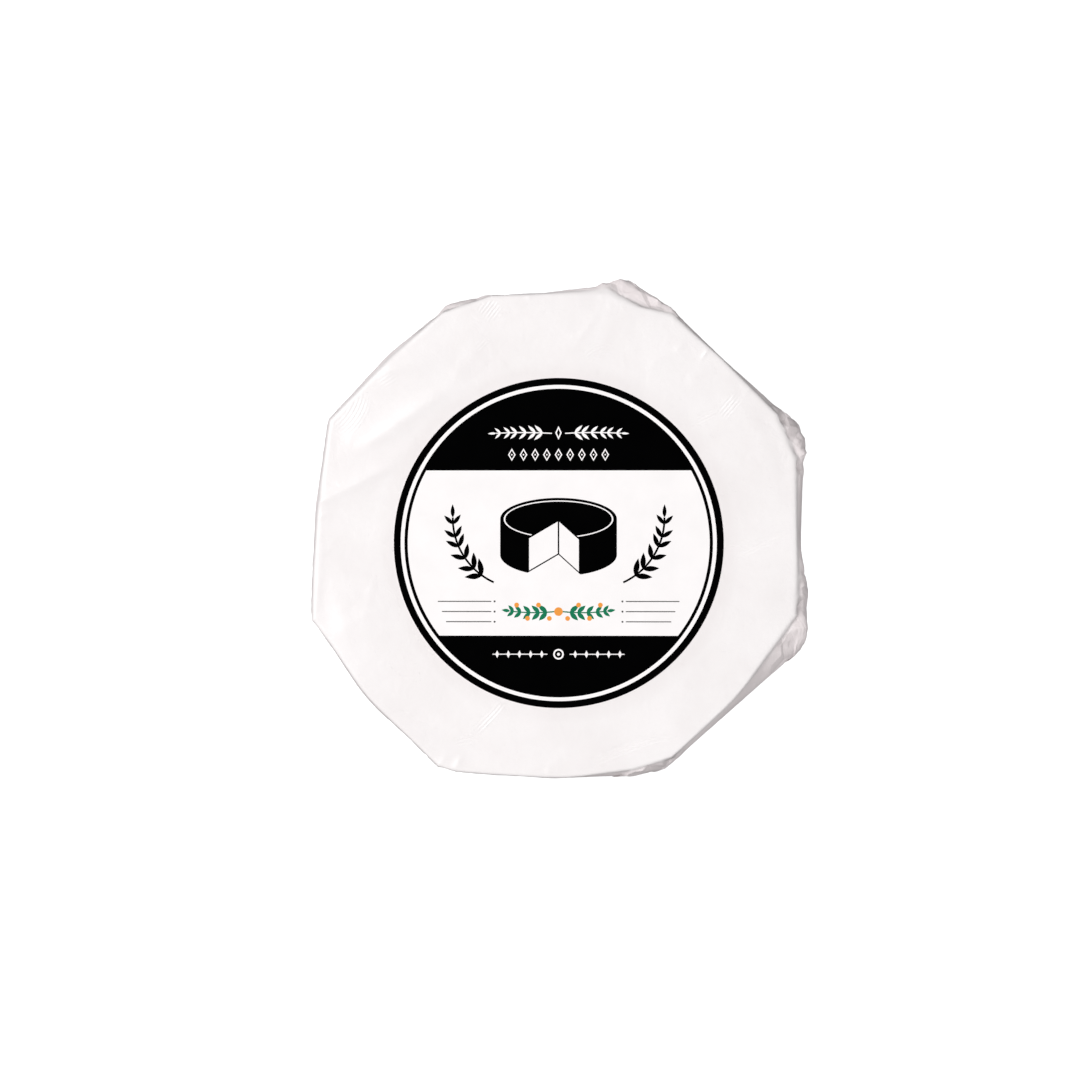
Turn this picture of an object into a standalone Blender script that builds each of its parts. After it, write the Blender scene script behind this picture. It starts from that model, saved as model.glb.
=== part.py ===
"""A whole brie wheel shut in its folded white paper, with a round label on the top face.

Metres, +Z up. The origin is on the wheel's axis, at the flat of the underside that it rests on, and +Y
points to the top of the label. The paper is one closed solid. Its outline is nearly the wheel's circle,
with eight folded corners standing out of it, and each corner has a flap of paper folded clockwise.
"""

from collections import namedtuple
from math import acos, ceil, cos, degrees, exp, hypot, pi, radians, sin

import bmesh
import bpy

# The wheel in its paper
WRAP_HEIGHT = 0.0370
RIM_ROUNDING_LEFT = 0.0024
RIM_ROUNDING_RIGHT = 0.0050
BASE_ROUNDING = 0.0048
BASE_FLAT_RADIUS = 0.0180

# The eight panels of the side, each by the angle of its middle, in degrees anticlockwise from +X seen from
# above, and by its distance from the axis at the rim and lower down
Panel = namedtuple("Panel", "angle rim_radius side_radius")
PANELS = (
    Panel(0.0, 0.0951, 0.0970),
    Panel(48.0, 0.0955, 0.0960),
    Panel(94.0, 0.0953, 0.0957),
    Panel(133.0, 0.0965, 0.0969),
    Panel(176.0, 0.0950, 0.0955),
    Panel(221.0, 0.0972, 0.0976),
    Panel(268.0, 0.0958, 0.0962),
    Panel(316.0, 0.0936, 0.0970),
)

# The folds that stand out of the side, anticlockwise: eight corners, and lesser folds beside some of them.
# A fold is widest below the rim, at angle and reach; at the rim it is at rim_angle, with rim_share of its
# width. Its paper lies over clockwise as a flap of flap_span degrees at the foot. Where stand is given, the
# panel on its other side lies that much deeper, from step_span degrees on.
NO_FLAP, NO_STAND, SHARP_STEP = 0.0, 0.0, 1.5
Fold = namedtuple(
    "Fold",
    "angle reach rim_angle rim_share flap_span stand step_span",
    defaults=(NO_FLAP, NO_STAND, SHARP_STEP),
)
FOLDS = (
    Fold(21.5, 0.1056, 17.5, 0.40, flap_span=6.0),
    Fold(26.0, 0.1046, 28.6, 0.45, stand=0.0024, step_span=3.5),
    Fold(64.0, 0.1018, 61.5, 0.30, flap_span=8.0),
    Fold(75.6, 0.1056, 72.0, 0.20, stand=0.0030),
    Fold(107.0, 0.0987, 103.0, 0.50, flap_span=8.0),
    Fold(114.5, 0.1006, 119.0, 0.25),
    Fold(153.0, 0.1010, 153.0, 0.97, flap_span=12.0),
    Fold(199.2, 0.1024, 199.2, 0.97, flap_span=13.0),
    Fold(243.0, 0.1030, 243.0, 0.97, flap_span=12.0),
    Fold(247.2, 0.1018, 247.2, 0.95),
    Fold(288.0, 0.1000, 288.0, 0.35, flap_span=9.0),
    Fold(294.7, 0.1022, 297.6, 0.50),
    Fold(336.3, 0.1078, 333.0, 0.03, flap_span=10.0, stand=0.0016, step_span=3.5),
    Fold(349.3, 0.1013, 351.0, 0.05, stand=0.0030, step_span=2.0),
)
WIDEST_AT = 0.55  # how far down the side a fold reaches its full width, as a share of the side
BASE_SHARE = 0.72  # how much of that width is left at the foot of the side
CORNER_DROOP = 0.0022  # how far the top face sinks at a corner that stands past the wheel
DROOP_FROM = 0.0070  # inside the panel's line
FULL_DROOP_AT = 0.0050  # past the panel's line
JOINED_SPAN = 14.0  # degrees: the paper runs straight between two folds that are closer than this

# The layers of paper
FLAP_LAYER = 0.0009  # a flap's free edge stands this far out of the panel under it
FLAP_EDGE_SPAN = 0.5  # degrees across that edge
FLAP_TOP_SHARE = 0.14  # a flap starts this narrow at the rim
FLAP_FULL_AT = 0.5  # how far down the side its layer is full
FOLD_LAYER = 0.4  # the share of that layer at the fold itself
BASE_LAYER = 0.0009  # the panels folded under step by this much where they lie over each other
FOLD_UNDER = 0.15  # the share of that step under a fold
STEP_UNDER = 0.30  # and under the panel on the fold's other side
UNDER_FULL_AT = 0.45  # the share of the way out from the flat centre at which that step is full

# Soft ridges that the pull of the folds leaves in the top face: x and y of both ends, half width, height
Ridge = namedtuple("Ridge", "x0 y0 x1 y1 half_width height")
RIDGES = (
    Ridge(-0.0920, 0.0120, -0.0600, 0.0260, 0.0024, 0.00055),
    Ridge(-0.0840, 0.0300, -0.0450, 0.0560, 0.0030, 0.00060),
    Ridge(-0.0700, 0.0620, -0.0480, 0.0740, 0.0034, 0.00050),
    Ridge(0.0620, 0.0660, 0.0480, 0.0580, 0.0026, 0.00040),
    Ridge(-0.0860, -0.0320, -0.0620, -0.0260, 0.0030, 0.00035),
    Ridge(0.0480, -0.0780, 0.0380, -0.0660, 0.0030, 0.00035),
)

# The label
LABEL_RADIUS = 0.0650
LABEL_CENTRE = (0.0012, -0.0032)
LABEL_THICKNESS = 0.0003
LABEL_GAP = 0.0003
LABEL_SIDES = 96
LABEL_MARGIN = 0.0018  # the paper is flat this far past the label
RELIEF_FADE = 0.0060  # and its ridges reach their full height this far past that

# How finely the paper is divided
COLUMN_SPAN = 3.6  # most degrees from one column to the next
SHARP_EDGE = 35.0  # degrees between faces that are shaded as an edge
TOP_ROWS = 5
RIM_ROWS = 5
SIDE_ROWS = 9
BASE_EDGE_ROWS = 4
UNDER_RADII = (0.92, 0.70, 0.48, 0.32)  # shares of the way from the flat centre to the edge

PAPER_COLOUR = (0.90, 0.88, 0.88, 1.0)
LABEL_COLOUR = (0.02, 0.02, 0.02, 1.0)


def smooth_step(value):
    """0 below 0, 1 above 1, and an even curve between."""
    value = min(max(value, 0.0), 1.0)
    return value * value * (3.0 - 2.0 * value)


def mixed(first, second, share):
    return first + (second - first) * share


def turned(angle):
    """An angle brought between -180 and 180 degrees."""
    return (angle + 180.0) % 360.0 - 180.0


def fold_width(fold, down):
    """The share of its full width that a fold has, down (0 to 1) from the rim to the foot."""
    if down <= WIDEST_AT:
        return mixed(fold.rim_share, 1.0, smooth_step(down / WIDEST_AT))
    return mixed(1.0, BASE_SHARE, smooth_step((down - WIDEST_AT) / (1.0 - WIDEST_AT)))


def fold_angle(fold, down):
    return mixed(fold.rim_angle, fold.angle, smooth_step(down / WIDEST_AT))


def marked_columns(down):
    """The columns that follow the folds and flaps, in order round the wheel: each one's angle, and its shares
    of the flap's layer and of the underside's step."""
    marks = []
    for fold in FOLDS:
        angle = fold_angle(fold, down)
        if fold.flap_span:
            edge = angle - fold.flap_span * mixed(FLAP_TOP_SHARE, 1.0, down)
            marks.append((edge - FLAP_EDGE_SPAN, 0.0, 1.0))
            marks.append((edge, 1.0, 0.0))
        marks.append((angle, FOLD_LAYER, FOLD_UNDER))
        if fold.stand:
            marks.append((angle + fold.step_span, 0.0, STEP_UNDER))
    return marks


def column_counts():
    """How many columns lie between each marked column and the next, the same at every height."""
    counts = []
    at_rim, at_foot = marked_columns(0.0), marked_columns(1.0)
    for index in range(len(at_rim)):
        after = (index + 1) % len(at_rim)
        gap = max((marks[after][0] - marks[index][0]) % 360.0 for marks in (at_rim, at_foot))
        counts.append(max(1, ceil(gap / COLUMN_SPAN)))
    return counts


def columns(down, counts):
    """Every column's angle, layer share and underside share, down from the rim."""
    marks = marked_columns(down)
    made = []
    for index, count in enumerate(counts):
        angle, layer, under = marks[index]
        next_angle, next_layer, next_under = marks[(index + 1) % len(marks)]
        gap = (next_angle - angle) % 360.0
        for number in range(count):
            share = number / count
            here = mixed(layer, next_layer, share), mixed(under, next_under, share)
            made.append((angle + gap * share, *here))
    return made


def panel_radius(angle, down):
    """The side's distance from the axis without its folds, passing evenly from panel to panel."""
    for panel, after in zip(PANELS, PANELS[1:] + PANELS[:1]):
        gap = (after.angle - panel.angle) % 360.0
        past = (angle - panel.angle) % 360.0
        if past < gap:
            share = smooth_step(past / gap)
            at_rim = mixed(panel.rim_radius, after.rim_radius, share)
            at_side = mixed(panel.side_radius, after.side_radius, share)
            return mixed(at_rim, at_side, smooth_step(down / WIDEST_AT))


def tangent_run(circle, reach, away):
    """The straight run of paper from a fold's tip, at reach, to the round of its panel."""
    tangent = degrees(acos(circle / max(reach, circle)))
    return circle / cos(radians(max(0.0, tangent - abs(away))))


def straight_run(near, far, share_angle, gap):
    """The straight run of paper between two tips that are gap degrees apart."""
    reach = near * sin(radians(share_angle)) + far * sin(radians(gap - share_angle))
    return near * far * sin(radians(gap)) / reach


def outline(angle, down):
    """The paper's distance from the axis: a panel, or the straight run from it to a fold."""
    circle = panel_radius(angle, down)
    radius = circle
    tips = []
    for fold in FOLDS:
        tip_angle = fold_angle(fold, down)
        tip_circle = panel_radius(tip_angle, down)
        width = fold_width(fold, down)
        reach = mixed(tip_circle, fold.reach, width)
        tips.append((tip_angle, reach))
        away = turned(angle - tip_angle)
        step = fold.stand * smooth_step(down / WIDEST_AT) * width
        reach -= min(step, reach - tip_circle) * smooth_step(away / fold.step_span)
        radius = max(radius, tangent_run(circle, reach, away))
    for (near_angle, near), (far_angle, far) in zip(tips, tips[1:] + tips[:1]):
        gap = (far_angle - near_angle) % 360.0
        past = (angle - near_angle) % 360.0
        if past < gap < JOINED_SPAN:
            radius = max(radius, straight_run(near, far, past, gap))
    return radius


def rim_rounding(angle):
    """The top edge is rounder at the right, where the paper has sunk onto the wheel."""
    return mixed(RIM_ROUNDING_LEFT, RIM_ROUNDING_RIGHT, 0.5 + 0.5 * cos(radians(angle)))


def ridge_height(ridge, x, y):
    """A ridge's height over a point of the top face, fading round its line."""
    run_x, run_y = ridge.x1 - ridge.x0, ridge.y1 - ridge.y0
    length = hypot(run_x, run_y)
    along = ((x - ridge.x0) * run_x + (y - ridge.y0) * run_y) / length**2
    nearest = min(max(along, 0.0), 1.0)
    distance = hypot(x - ridge.x0 - run_x * nearest, y - ridge.y0 - run_y * nearest)
    return ridge.height * exp(-0.5 * (distance / ridge.half_width) ** 2)


def polar_point(angle, radius, height):
    return radius * cos(radians(angle)), radius * sin(radians(angle)), height


def top_height(x, y, angle):
    """The top face: flat under the label, ridged round it, and sunk a little at the corners."""
    off_label = hypot(x - LABEL_CENTRE[0], y - LABEL_CENTRE[1]) - LABEL_RADIUS - LABEL_MARGIN
    relief = sum(ridge_height(ridge, x, y) for ridge in RIDGES) * smooth_step(off_label / RELIEF_FADE)
    panel = panel_radius(angle, 0.0)
    overhang = smooth_step((outline(angle, 0.0) - panel) / FULL_DROOP_AT)
    past_wheel = smooth_step((hypot(x, y) - panel + DROOP_FROM) / DROOP_FROM)
    return WRAP_HEIGHT + relief - CORNER_DROOP * overhang * past_wheel


def rim_start(angle):
    """Where the top face ends and the rim's rounding starts."""
    radius = outline(angle, 0.0) - rim_rounding(angle)
    x, y, _ = polar_point(angle, radius, 0.0)
    return x, y, top_height(x, y, angle)


def top_rows(counts):
    """Rings of the top face, from a circle just outside the label to the start of the rim's rounding."""
    rows = []
    for number in range(TOP_ROWS):
        share = number / (TOP_ROWS - 1)
        row = []
        for angle, _, _ in columns(0.0, counts):
            near_x, near_y, _ = polar_point(angle, LABEL_RADIUS + LABEL_MARGIN, 0.0)
            far_x, far_y, _ = rim_start(angle)
            x = mixed(LABEL_CENTRE[0] + near_x, far_x, share)
            y = mixed(LABEL_CENTRE[1] + near_y, far_y, share)
            row.append((x, y, top_height(x, y, angle)))
        rows.append(row)
    return rows


def rim_rows(counts):
    """Rings round the top edge, a quarter of an ellipse in section."""
    rows = []
    for number in range(1, RIM_ROWS):
        turn = 0.5 * pi * number / RIM_ROWS
        row = []
        for angle, _, _ in columns(0.0, counts):
            rounding = rim_rounding(angle)
            radius = outline(angle, 0.0) - rounding * (1.0 - sin(turn))
            height = rim_start(angle)[2] - rounding * (1.0 - cos(turn))
            row.append(polar_point(angle, radius, height))
        rows.append(row)
    return rows


def side_rows(counts):
    """Rings down the side, where the corners widen and their flaps stand out."""
    rows = []
    for number in range(SIDE_ROWS):
        down = number / (SIDE_ROWS - 1)
        row = []
        for rim_column, column in zip(columns(0.0, counts), columns(down, counts)):
            angle, layer, _ = column
            start = rim_start(rim_column[0])[2] - rim_rounding(rim_column[0])
            radius = outline(angle, down) + FLAP_LAYER * layer * smooth_step(down / FLAP_FULL_AT)
            row.append(polar_point(angle, radius, mixed(start, BASE_ROUNDING, down)))
        rows.append(row)
    return rows


def under_height(under, radius, edge):
    """The underside: panels folded under, stepping where they lie over each other, flat at the middle."""
    outward = smooth_step((radius - BASE_FLAT_RADIUS) / (UNDER_FULL_AT * (edge - BASE_FLAT_RADIUS)))
    return BASE_LAYER * under * outward


def base_edge_rows(counts):
    """Rings round the bottom edge, a quarter of an ellipse in section."""
    rows = []
    for number in range(1, BASE_EDGE_ROWS + 1):
        turn = 0.5 * pi * number / BASE_EDGE_ROWS
        row = []
        for angle, layer, under in columns(1.0, counts):
            outer = outline(angle, 1.0) + FLAP_LAYER * layer
            edge = outer - BASE_ROUNDING
            height = mixed(BASE_ROUNDING, under_height(under, edge, edge), sin(turn))
            row.append(polar_point(angle, edge + BASE_ROUNDING * cos(turn), height))
        rows.append(row)
    return rows


def under_rows(counts):
    """Rings of the underside, in from the bottom edge to the flat centre."""
    rows = []
    for share in UNDER_RADII + (0.0,):
        row = []
        for angle, layer, under in columns(1.0, counts):
            edge = outline(angle, 1.0) + FLAP_LAYER * layer - BASE_ROUNDING
            radius = mixed(BASE_FLAT_RADIUS, edge, share)
            row.append(polar_point(angle, radius, under_height(under, radius, edge)))
        rows.append(row)
    return rows


def plain_material(name, colour, roughness):
    material = bpy.data.materials.new(name)
    material.use_nodes = True
    shader = material.node_tree.nodes["Principled BSDF"]
    shader.inputs["Base Color"].default_value = colour
    shader.inputs["Roughness"].default_value = roughness
    shader.inputs["Metallic"].default_value = 0.0
    return material


def new_object(name, mesh, material, parent):
    piece = bpy.data.objects.new(name, mesh)
    bpy.context.scene.collection.objects.link(piece)
    mesh.materials.append(material)
    piece.parent = parent
    return piece


def make_wrap(parent):
    """The paper round the wheel, as one closed skin of rings between a top and a bottom point."""
    counts = column_counts()
    rows = top_rows(counts) + rim_rows(counts) + side_rows(counts)
    rows += base_edge_rows(counts) + under_rows(counts)
    around = len(rows[0])

    skin = bmesh.new()
    top = skin.verts.new((*LABEL_CENTRE, WRAP_HEIGHT))
    bottom = skin.verts.new((0.0, 0.0, 0.0))
    rings = [[skin.verts.new(point) for point in row] for row in rows]
    for index in range(around):
        after = (index + 1) % around
        skin.faces.new((top, rings[0][index], rings[0][after]))
        skin.faces.new((bottom, rings[-1][after], rings[-1][index]))
        for upper, lower in zip(rings, rings[1:]):
            skin.faces.new((upper[index], lower[index], lower[after]))
            skin.faces.new((upper[index], lower[after], upper[after]))

    mesh = bpy.data.meshes.new("wrap")
    skin.to_mesh(mesh)
    skin.free()
    mesh.shade_smooth()
    mesh.set_sharp_from_angle(angle=radians(SHARP_EDGE))
    return new_object("wrap", mesh, plain_material("waxed_paper", PAPER_COLOUR, 0.45), parent)


def make_label(parent):
    """The round label, a thin disc just over the flat of the top face."""
    disc = bmesh.new()
    bmesh.ops.create_cone(
        disc,
        cap_ends=True,
        segments=LABEL_SIDES,
        radius1=LABEL_RADIUS,
        radius2=LABEL_RADIUS,
        depth=LABEL_THICKNESS,
    )
    mesh = bpy.data.meshes.new("label")
    disc.to_mesh(mesh)
    disc.free()
    mesh.shade_smooth()
    mesh.set_sharp_from_angle(angle=radians(SHARP_EDGE))
    label = new_object("label", mesh, plain_material("label_paper", LABEL_COLOUR, 0.40), parent)
    label.location = (*LABEL_CENTRE, WRAP_HEIGHT + LABEL_GAP + 0.5 * LABEL_THICKNESS)
    return label


def main():
    for item in list(bpy.data.objects):
        bpy.data.objects.remove(item)
    wheel = bpy.data.objects.new("brie_wheel", None)
    bpy.context.scene.collection.objects.link(wheel)
    make_wrap(wheel)
    make_label(wheel)


main()
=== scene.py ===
from collections import namedtuple
from math import ceil, cos, hypot, pi, radians, sin, sqrt, tan

import bmesh
import bpy
import numpy as np
from mathutils import Matrix, Vector, noise
from mathutils.geometry import delaunay_2d_cdt
from mathutils.kdtree import KDTree


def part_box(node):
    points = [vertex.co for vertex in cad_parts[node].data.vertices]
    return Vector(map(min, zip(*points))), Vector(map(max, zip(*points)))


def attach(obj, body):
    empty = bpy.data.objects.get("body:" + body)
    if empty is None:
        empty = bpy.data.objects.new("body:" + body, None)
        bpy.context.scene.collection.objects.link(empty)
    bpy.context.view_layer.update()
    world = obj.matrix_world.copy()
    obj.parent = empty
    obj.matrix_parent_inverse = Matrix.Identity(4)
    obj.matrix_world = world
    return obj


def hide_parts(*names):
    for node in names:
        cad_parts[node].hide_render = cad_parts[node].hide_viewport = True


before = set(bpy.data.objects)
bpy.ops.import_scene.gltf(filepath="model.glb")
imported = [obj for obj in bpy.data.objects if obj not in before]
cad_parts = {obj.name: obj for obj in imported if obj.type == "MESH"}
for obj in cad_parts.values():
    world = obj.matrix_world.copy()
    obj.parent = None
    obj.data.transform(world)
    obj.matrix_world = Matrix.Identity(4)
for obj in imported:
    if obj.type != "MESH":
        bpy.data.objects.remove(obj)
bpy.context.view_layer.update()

# A brie wheel shut in folded white waxed paper, with a round label, seen from straight above.
# Metres and degrees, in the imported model's frame. Angles run anticlockwise from +X, seen from above.

labelLow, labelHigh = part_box("label")
labelCentre = (labelLow + labelHigh) / 2
labelRadius = (labelHigh.x - labelLow.x) / 2
labelGap = 0.0003  # the solid label hangs this far over the paper
paperTop = labelLow.z - labelGap


# Materials

class Wire:
    # a socket of a material; sums on wires add Math nodes
    def __init__(self, board, socket):
        self.board, self.socket = board, socket

    def __add__(self, other):
        return self.board.maths("ADD", self, other)

    def __sub__(self, other):
        return self.board.maths("SUBTRACT", self, other)

    def __rsub__(self, other):
        return self.board.maths("SUBTRACT", other, self)

    def __mul__(self, other):
        return self.board.maths("MULTIPLY", self, other)

    __radd__, __rmul__ = __add__, __mul__


class Board:
    # the node tree of a material or of the world
    def __init__(self, owner):
        owner.use_nodes = True
        self.owner, self.tree = owner, owner.node_tree

    def add(self, kind, settings=None, inputs=None, out=0):
        # one node of that type: its settings first, then the values or wires of its sockets
        node = self.tree.nodes.new(kind)
        for name, value in (settings or {}).items():
            if name == "stops":
                setStops(node.color_ramp, value)
            else:
                setattr(node, name, value)
        for name, value in (inputs or {}).items():
            self.link(value, node.inputs[name])
        return Wire(self, node.outputs[out])

    def link(self, value, socket):
        if isinstance(value, Wire):
            self.tree.links.new(value.socket, socket)
        else:
            socket.default_value = value

    def place(self):
        return self.add("ShaderNodeTexCoord", out="Object")

    def grain(self, place, size, detail, roughness, distortion=0.0):
        # soft noise from 0 to 1, with lumps of that size in metres
        sockets = {"Vector": place, "Scale": 1.0 / size, "Detail": detail}
        sockets.update({"Roughness": roughness, "Distortion": distortion})
        return self.add("ShaderNodeTexNoise", None, sockets)

    def facets(self, place, size, shift):
        # flat facets of that size in metres that meet in sharp creases, from about -0.5 to 0.5: the
        # difference of two domed nets, one of them shifted
        shifted = self.add("ShaderNodeVectorMath", dict(operation="ADD"), {0: place, 1: shift})
        first, second = (self.add("ShaderNodeTexVoronoi", None, {"Vector": spot, "Scale": 1.0 / size})
                         for spot in (place, shifted))
        return first * first - second * second

    def distance(self, place, spot):
        return self.add("ShaderNodeVectorMath", dict(operation="DISTANCE"), {0: place, 1: spot}, 1)

    def fade(self, value, start, end, first=1.0, last=0.0):
        # goes smoothly from the first number at start to the last one at end
        sockets = {"Value": value, "From Min": start, "From Max": end, "To Min": first, "To Max": last}
        return self.add("ShaderNodeMapRange", dict(interpolation_type="SMOOTHSTEP"), sockets)

    def ramp(self, value, *stops):
        return self.add("ShaderNodeValToRGB", dict(stops=stops), {"Fac": value})

    def blend(self, share, first, second):
        return self.add("ShaderNodeMix", dict(data_type="RGBA"), {0: share, 6: first, 7: second}, 2)

    def maths(self, operation, first, second):
        return self.add("ShaderNodeMath", dict(operation=operation), {0: first, 1: second})

    def bump(self, height, depth, under=None):
        # relief of that depth in metres
        sockets = {"Height": height, "Distance": depth}
        if under:
            sockets["Normal"] = under
        return self.add("ShaderNodeBump", None, sockets)

    def done(self, shader="Principled BSDF", **sockets):
        # sets the shader's sockets, named without their spaces
        for socket in self.tree.nodes[shader].inputs:
            name = socket.name.replace(" ", "")
            if name in sockets:
                self.link(sockets[name], socket)
        return self.owner


def setStops(ramp, stops):
    for number, (place, grey) in enumerate(stops):
        stop = ramp.elements[number] if number < 2 else ramp.elements.new(place)
        stop.position, stop.color = place, (grey, grey, grey, 1.0)


paperLook = dict(
    lifted=(0.900, 0.866, 0.866, 1.0),  # where the paper stands off the rind
    touching=(0.845, 0.802, 0.800, 1.0),  # where it clings, the rind shows through a little; the ring round the label has this colour too
    patchSize=0.034,
    patchStops=((0.40, 0.0), (0.62, 1.0)),
    patchShare=0.6,  # how much of the touching colour the patches have
    pressed=0.011,  # how far past the label's edge the paper is darker
    pressedShare=0.7,
    side=(0.900, 0.824, 0.829, 1.0),  # painted bounce light: a pinkish tint on the folded side, for the warm light in its shade
    sideFrom=0.0003,  # below the top face
    sideFullAt=0.0032,
    fibre=(0.850, 0.812, 0.812, 1.0),
    fibreShare=0.25,
    fibreStops=((0.46, 0.0), (0.70, 1.0)),
    fibreSize=0.0011,
    fibreDepth=0.00004,
    crinkleSize=0.0060,
    crinkleDepth=0.00022,
    # the side is crumpled round these corners, and calm again between the two distances from them
    looseCorners=((0.097, 0.041), (0.098, -0.038), (0.034, 0.096), (0.040, -0.092), (-0.036, 0.094)),
    looseHeight=0.024,
    looseReach=(0.012, 0.032),
    facetSize=0.0120,
    facetDepth=0.0022,
    facetShift=(0.37, 0.11, 0.23),
    roughness=(0.34, 0.52),
    hazeSize=0.034 / 3,
    hazeStops=((0.30, 0.0), (0.70, 1.0)),
    coat=0.32,
    coatRoughness=0.30,
)


def paperMaterial():
    look = paperLook
    board = Board(bpy.data.materials.new("waxedPaper"))
    place = board.place()

    # the rind shows through in patches, and the paper is darker round the label; the side gets a painted
    # pinkish tint of bounce light in its shade
    patches = board.grain(place, look["patchSize"], detail=3.0, roughness=0.55, distortion=0.4)
    patches = board.ramp(patches, *look["patchStops"])
    # the paper is darker round the label, and this fades out past its edge
    fromLabel = board.distance(place, (labelCentre.x, labelCentre.y, paperTop))
    pressed = board.fade(fromLabel, labelRadius, labelRadius + look["pressed"])
    patched = patches * look["patchShare"]
    patchesAndRing = board.maths("MAXIMUM", patched, pressed * (look["pressedShare"] + patched))
    colour = board.blend(patchesAndRing, look["lifted"], look["touching"])
    height = board.add("ShaderNodeSeparateXYZ", None, {0: place}, "Z")
    below = board.fade(height, paperTop - look["sideFullAt"], paperTop - look["sideFrom"])
    # painted bounce light: below the top face the side turns pinkish, for the warm light in its shade
    colour = board.blend(below, colour, look["side"])
    fibres = board.grain(place, look["fibreSize"], detail=4.0, roughness=0.62)
    flecks = board.ramp(fibres, *look["fibreStops"]) * look["fibreShare"]
    colour = board.blend(flecks, colour, look["fibre"])

    # crinkles and fibres all over, and facets where the side is loose
    crinkles = board.grain(place, look["crinkleSize"], detail=3.0, roughness=0.55, distortion=0.6)
    relief = board.bump(crinkles, look["crinkleDepth"])
    relief = board.bump(fibres, look["fibreDepth"], relief)
    loose = 0.0
    for x, y in look["looseCorners"]:
        away = board.distance(place, (x, y, look["looseHeight"]))
        loose = board.maths("MAXIMUM", loose, board.fade(away, *look["looseReach"]))
    facets = board.facets(place, look["facetSize"], look["facetShift"]) * (loose * below)
    relief = board.bump(facets, look["facetDepth"], relief)

    low, high = look["roughness"]
    haze = board.grain(place, look["hazeSize"], detail=3.0, roughness=0.6)
    haze = board.ramp(haze, *look["hazeStops"])
    return board.done(
        BaseColor=colour, Roughness=haze * (high - low) + low, Normal=relief,
        CoatWeight=look["coat"], CoatRoughness=look["coatRoughness"],
    )


printLook = dict(
    stock=(0.935, 0.905, 0.905, 1.0),
    black=(0.0005, 0.0005, 0.0006, 1.0),
    grey=(0.120, 0.115, 0.115, 1.0),
    green=(0.013, 0.185, 0.090, 1.0),
    ochre=(0.860, 0.330, 0.065, 1.0),
    wornShare=0.10 / 3,  # how much weaker a colour is in its worn patches
    wornGrey=0.0002,
    roughness=(0.34, 0.46),
    gloss=0.004,
    patchSize=0.012,
    patchStops=((0.35, 0.0), (0.65, 1.0)),
    toothSize=0.0007,
    toothDepth=0.00002,
)


def printMaterial(name, colour):
    # ink or bare stock: one colour, a little uneven, on the same smooth paper
    look = printLook
    board = Board(bpy.data.materials.new(name))
    place = board.place()
    tooth = board.grain(place, look["toothSize"], detail=3.0, roughness=0.6)
    patches = board.grain(place, look["patchSize"], detail=4.0, roughness=0.6)
    patches = board.ramp(patches, *look["patchStops"])
    worn = [part * (1 - look["wornShare"]) + look["wornGrey"] for part in colour[:3]]
    low, high = look["roughness"]
    return board.done(
        BaseColor=board.blend(patches, colour, (*worn, 1.0)), Roughness=patches * (high - low) + low,
        Normal=board.bump(tooth, look["toothDepth"]), SpecularIORLevel=look["gloss"],
    )


# The folded paper, by the same rules as its solid

paper = dict(
    rimRoundingLeft=0.0022,
    rimRoundingRight=0.0019,
    rimSquareness=3.2,  # 2 is a round rim; the paper is pulled flatter than that
    baseRounding=0.0048,
    flatRadius=0.0180,  # the flat middle of the underside
    footShare=0.72,  # the share of its width left at the foot
    cornerDroop=0.0005,  # how far the top face sinks at a corner that stands past the wheel
    droopFrom=0.0070,
    fullDroopAt=0.0050,
    joinedSpan=14.0,  # the paper runs straight between folds closer than this
    flapLayer=0.0009,  # how far a flap's free edge stands out
    flapTopShare=0.14,  # of a flap's width at the rim
    flapFullAt=0.5,
    edgeLayer=0.75,  # the shares of a flap's layer and of the base's step at the flap's edge
    edgeUnder=0.20,
    foldLayer=0.4,
    tuck=0.55,  # degrees that the panel below runs in under a flap's edge
    tuckAtRim=0.15,  # at the rim it stops short of it by this
    flapRound=0.25,  # degrees across the flap's rounded edge
    baseLayer=0.0009,
    foldUnder=0.15,
    stepUnder=0.30,
    underFullAt=0.45,
    columnSpan=0.50,  # most degrees between two columns of the mesh
    topRows=30,
    rimRows=7,
    rimDown=0.020,  # the rim's rounding already takes this share of the way that the side opens
    sideCrowding=1.4,  # the side's rows lie closer near the rim
    sideRows=31,
    baseEdgeRows=5,
    underRows=11,
    bluntSpan=1.7,  # degrees over which the loose folds at the right are rounded off
    looseSide=10.0,  # the loose folds lie round this angle
    looseSpread=0.7,
    bluntFullAt=0.2,
    labelOverlap=0.0040,  # how far the top face's rings start inside the label's edge
    edgeAngle=40.0,
)

# A panel bulges from its rim to its side, and is widest at that share of the way down
Panel = namedtuple("Panel", "angle rimRadius sideRadius widest", defaults=(0.55,))
panels = (
    Panel(0.0, 0.0951, 0.0970), Panel(48.0, 0.0955, 0.0960), Panel(94.0, 0.0953, 0.0957, 0.3),
    Panel(133.0, 0.0956, 0.0972, 0.12), Panel(176.0, 0.0946, 0.0957, 0.14),
    Panel(221.0, 0.0980, 0.0989, 0.14), Panel(268.0, 0.0958, 0.0962, 0.3),
    Panel(316.0, 0.0954, 0.0976, 0.20),
)

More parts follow.
